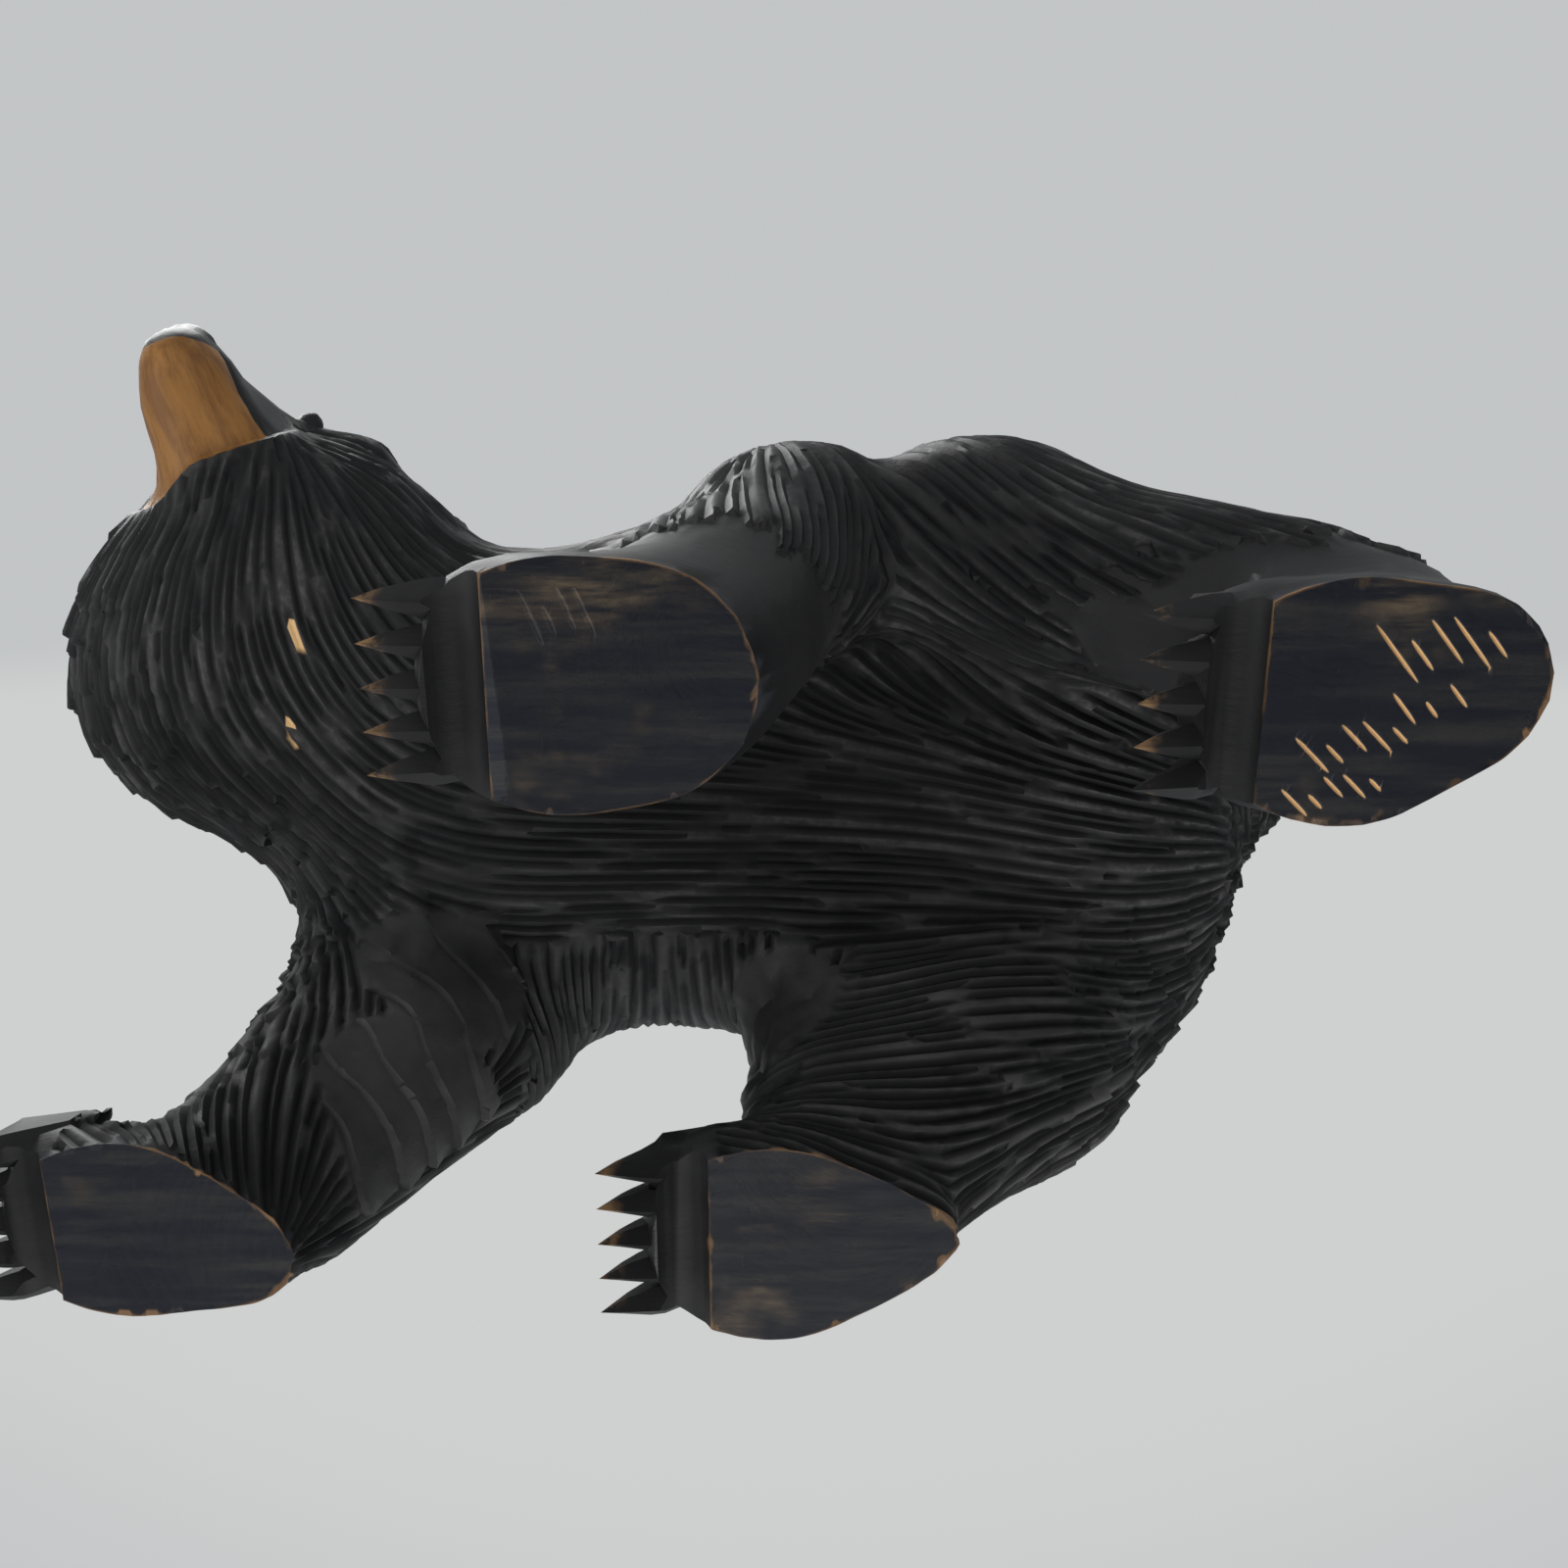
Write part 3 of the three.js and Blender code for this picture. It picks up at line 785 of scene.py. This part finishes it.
def stained_wood():
    material = bpy.data.materials.new("stained_wood")
    n = Nodes(material)
    cut = n.value("cut")
    sole = n.value("sole")
    rim = n.value("rim")

    # Black stain, darker down in the cuts as painted shade, lighter on the ridges as wear and painted
    # light, with a painted highlight along the crests
    patch = n.noise(9, 5, 0.6)
    fine = n.noise(420, 3, 0.6)
    ridge = n.math("SUBTRACT", 1.0, cut)
    # Ridges lighter and cuts darker: wear, with painted shade in the cuts and painted light on the
    # ridges
    worn_and_lit = n.math("MULTIPLY", n.math("POWER", ridge, 2.5), n.ramp(patch, 0.35, 0.7, 0.25, 1.0))
    # The tone mixes in the painted shade under the belly and the painted light on the inside of the
    # right legs
    tone_of_wear_and_light = n.value("wear_light_and_shade")
    colour = n.mix(worn_and_lit, STAIN, n.mix(tone_of_wear_and_light, STAIN_DARK_AND_SHADED, STAIN_WORN_AND_LIT))
    # A thin bright line on the crests: wear and a painted highlight
    crest_wear_and_highlight = n.math("MULTIPLY", n.math("POWER", ridge, 9.0), n.ramp(fine, 0.35, 0.65, 0.3, 1.0))
    crest_wear_and_highlight = n.math("MULTIPLY", crest_wear_and_highlight, n.ramp(patch, 0.42, 0.68, 0.06, 0.65))
    colour = n.mix(n.math("MULTIPLY", crest_wear_and_highlight, n.ramp(n.value("furred"), 0.2, 0.8)), colour, CREST_WEAR_AND_HIGHLIGHT)

    # Flat soles: brushed stain along the foot, worn through in streaks
    brush = n.noise(190, 5, 0.65, stretch=(1, 12, 1))
    blotch = n.noise(17, 4, 0.6)
    streak = n.noise(110, 5, 0.7, stretch=(1, 9, 1))
    sole_colour = n.mix(n.ramp(brush, 0.4, 0.7, 0.0, 0.8), SOLE_STAIN, SOLE_BRUSHED)
    lightened = n.math("MULTIPLY", n.ramp(streak, 0.42, 0.62), n.ramp(blotch, 0.53, 0.70))
    sole_colour = n.mix(n.math("MULTIPLY", lightened, 0.85), sole_colour, SOLE_WORN)
    colour = n.mix(sole, colour, sole_colour)

    # Edges of the soles and tips of the claws, rubbed to bare wood
    ragged = n.noise(120, 5, 0.7)
    reach = n.ramp(n.noise(22, 3, 0.6), 0.50, 0.78, -0.04, 0.14)
    jagged = n.math("MULTIPLY", n.math("SUBTRACT", ragged, 0.5), 0.14)
    rub = n.ramp(n.math("SUBTRACT", n.math("ADD", reach, jagged), rim), 0.0, 0.045)
    line = n.math("MULTIPLY", n.ramp(rim, 0.034, 0.008), n.ramp(n.noise(40, 3), 0.42, 0.6))
    bare = n.mix(ragged, BARE_DARK, BARE)
    colour = n.mix(n.math("MULTIPLY", n.math("MAXIMUM", rub, line), 0.6), colour, bare)
    tip = n.math("MULTIPLY", n.ramp(n.value("claw"), 0.45, 1.0), n.ramp(ragged, 0.42, 0.6))
    colour = n.mix(n.math("MULTIPLY", tip, 0.7), colour, bare)
    colour = n.mix(n.ramp(n.value("mark"), 0.12, 0.4), colour, CUT_WOOD)

    # Bare muzzle with a dark nose and bridge
    ahead = n.value("ahead")
    aside = n.value("aside")
    above = n.value("above")
    wobble = n.math("MULTIPLY", n.math("SUBTRACT", n.noise(60, 3), 0.5), 0.03)
    level = n.math("ADD", above, n.math("MULTIPLY", ahead, LIP_SLOPE))
    level = n.math("ADD", level, n.math("MULTIPLY", aside, LIP_LEAN))
    under = n.ramp(level, 0.01 * LIP_LEVEL + 0.003, 0.01 * LIP_LEVEL - 0.003)
    front = n.ramp(n.math("ADD", n.value("muzzle"), n.math("MULTIPLY", wobble, 0.3)), -0.004, 0.004)
    nose = n.ramp(n.math("ADD", n.math("MULTIPLY", above, 0.55), ahead), 0.755, 0.765)
    tan = n.math("MULTIPLY", n.math("MULTIPLY", under, front), n.math("SUBTRACT", 1.0, nose))
    grain = n.noise(230, 5, 0.65, stretch=(9, 1, 1), turn=FACE_TURN - math.pi / 2)
    smudge = n.noise(34, 4, 0.6)
    skin = n.mix(n.ramp(grain, 0.35, 0.7), MUZZLE, MUZZLE_GRAIN)
    skin = n.mix(n.ramp(smudge, 0.56, 0.8, 0.0, 0.75), skin, MUZZLE_SMUDGE)
    colour = n.mix(tan, colour, skin)

    shader = n.new("ShaderNodeBsdfPrincipled")
    n.link(colour, shader.inputs["Base Color"])
    gloss = n.math("ADD", n.ramp(patch, 0.3, 0.7, 0.46, 0.60), n.math("MULTIPLY", cut, 0.15))
    n.link(n.math("ADD", gloss, n.math("MULTIPLY", sole, 0.06)), shader.inputs["Roughness"])
    shader.inputs["Specular IOR Level"].default_value = 0.16

    # Tool marks and pores too fine to cut
    bump = n.new("ShaderNodeBump")
    bump.inputs["Strength"].default_value = 0.35
    bump.inputs["Distance"].default_value = 0.0006
    pores = n.math("MULTIPLY", n.noise(650, 4, 0.6, stretch=(1, 4, 1)), 0.7)
    n.link(n.math("ADD", pores, n.math("MULTIPLY", brush, 0.5)), bump.inputs["Height"])
    n.link(bump.outputs[0], shader.inputs["Normal"])
    out = n.new("ShaderNodeOutputMaterial")
    n.link(shader.outputs[0], out.inputs["Surface"])
    return material


def one_sided(name, colour, roughness):
    """A plain stage surface that is there only from its front."""
    material = bpy.data.materials.new(name)
    n = Nodes(material)
    front = n.new("ShaderNodeBsdfPrincipled")
    front.inputs["Base Color"].default_value = (*colour, 1)
    front.inputs["Roughness"].default_value = roughness
    back = n.new("ShaderNodeBsdfTransparent")
    mix = n.new("ShaderNodeMixShader")
    n.link(n.new("ShaderNodeNewGeometry").outputs["Backfacing"], mix.inputs[0])
    n.link(front.outputs[0], mix.inputs[1])
    n.link(back.outputs[0], mix.inputs[2])
    out = n.new("ShaderNodeOutputMaterial")
    n.link(mix.outputs[0], out.inputs["Surface"])
    return material


# Stage, light and camera
BACKDROP = (0.545, 0.56, 0.57)
TABLE_TOP = (0.625, 0.635, 0.63)
FLOOR_HALF = 60.0
FLOOR_COLOUR = (0.66, 0.66, 0.655)
FLOOR_ROUGHNESS = 0.6


def make_stage():
    mesh = bpy.data.meshes.new("floor")
    half = FLOOR_HALF
    corners = [(-half, -half, 0), (half, -half, 0), (half, half, 0), (-half, half, 0)]
    mesh.from_pydata(corners, [], [(0, 1, 2, 3)])
    floor = bpy.data.objects.new("floor", mesh)
    bpy.context.scene.collection.objects.link(floor)
    mesh.materials.append(one_sided("pale_floor", FLOOR_COLOUR, FLOOR_ROUGHNESS))
    floor.visible_shadow = False

    world = bpy.data.worlds.new("studio")
    bpy.context.scene.world = world
    n = Nodes(world)
    way = n.new("ShaderNodeSeparateXYZ")
    n.link(n.new("ShaderNodeTexCoord").outputs["Generated"], way.inputs[0])
    lower = n.ramp(way.outputs["X"], -0.195, -0.235)
    low = n.math("MULTIPLY", lower, n.ramp(way.outputs["Z"], 0.6, 0.75))
    shade = n.new("ShaderNodeBackground")
    n.link(n.mix(low, BACKDROP, TABLE_TOP), shade.inputs["Color"])
    n.link(shade.outputs[0], n.new("ShaderNodeOutputWorld").inputs["Surface"])


def area_light(name, place, target, size, power):
    data = bpy.data.lights.new(name, "AREA")
    data.shape = "DISK"
    data.size = size
    data.energy = power
    light = bpy.data.objects.new(name, data)
    bpy.context.scene.collection.objects.link(light)
    light.location = place
    light.rotation_euler = (Vector(target) - Vector(place)).to_track_quat("-Z", "Y").to_euler()
    light.visible_camera = False


def make_lights():
    middle = (0, 0, 0.12)
    area_light("key_above", (0.75, -0.8, 1.35), middle, 1.1, 30)
    area_light("rake_side", (1.3, 0.3, -0.7), middle, 1.3, 10)
    area_light("rake_front", (0.1, -1.2, -0.6), middle, 0.6, 8)
    area_light("bounce", (-1.0, 0.1, -0.8), middle, 1.0, 22)
    area_light("below", (0.5, 0.5, -1.3), middle, 0.8, 7)


# The camera looks up at the soles, as the picture of the bear lying on its side does.
CAMERA_LEAN = math.radians(18)
CAMERA_PLACE = (np.array([177.0, 0.0, -372.0]) + MIDDLE) * MM
PICTURE_FOCUS = 1560 / 1600


def make_camera():
    data = bpy.data.cameras.new("camera")
    data.sensor_width = 36
    data.lens = 36 * PICTURE_FOCUS
    data.clip_start = 0.01
    camera = bpy.data.objects.new("camera", data)
    bpy.context.scene.collection.objects.link(camera)
    right = Vector((0, 1, 0))
    up = Vector((math.cos(CAMERA_LEAN), 0, math.sin(CAMERA_LEAN)))
    back = right.cross(up)
    turn = Matrix((right, up, back)).transposed().to_4x4()
    camera.matrix_world = Matrix.Translation(CAMERA_PLACE) @ turn
    bpy.context.scene.camera = camera


bear = make_bear()
bear.data.materials.clear()
bear.data.materials.append(stained_wood())
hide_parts("bear")
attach(bear, "root")
make_stage()
make_lights()
make_camera()
bpy.context.scene.view_settings.view_transform = "Standard"
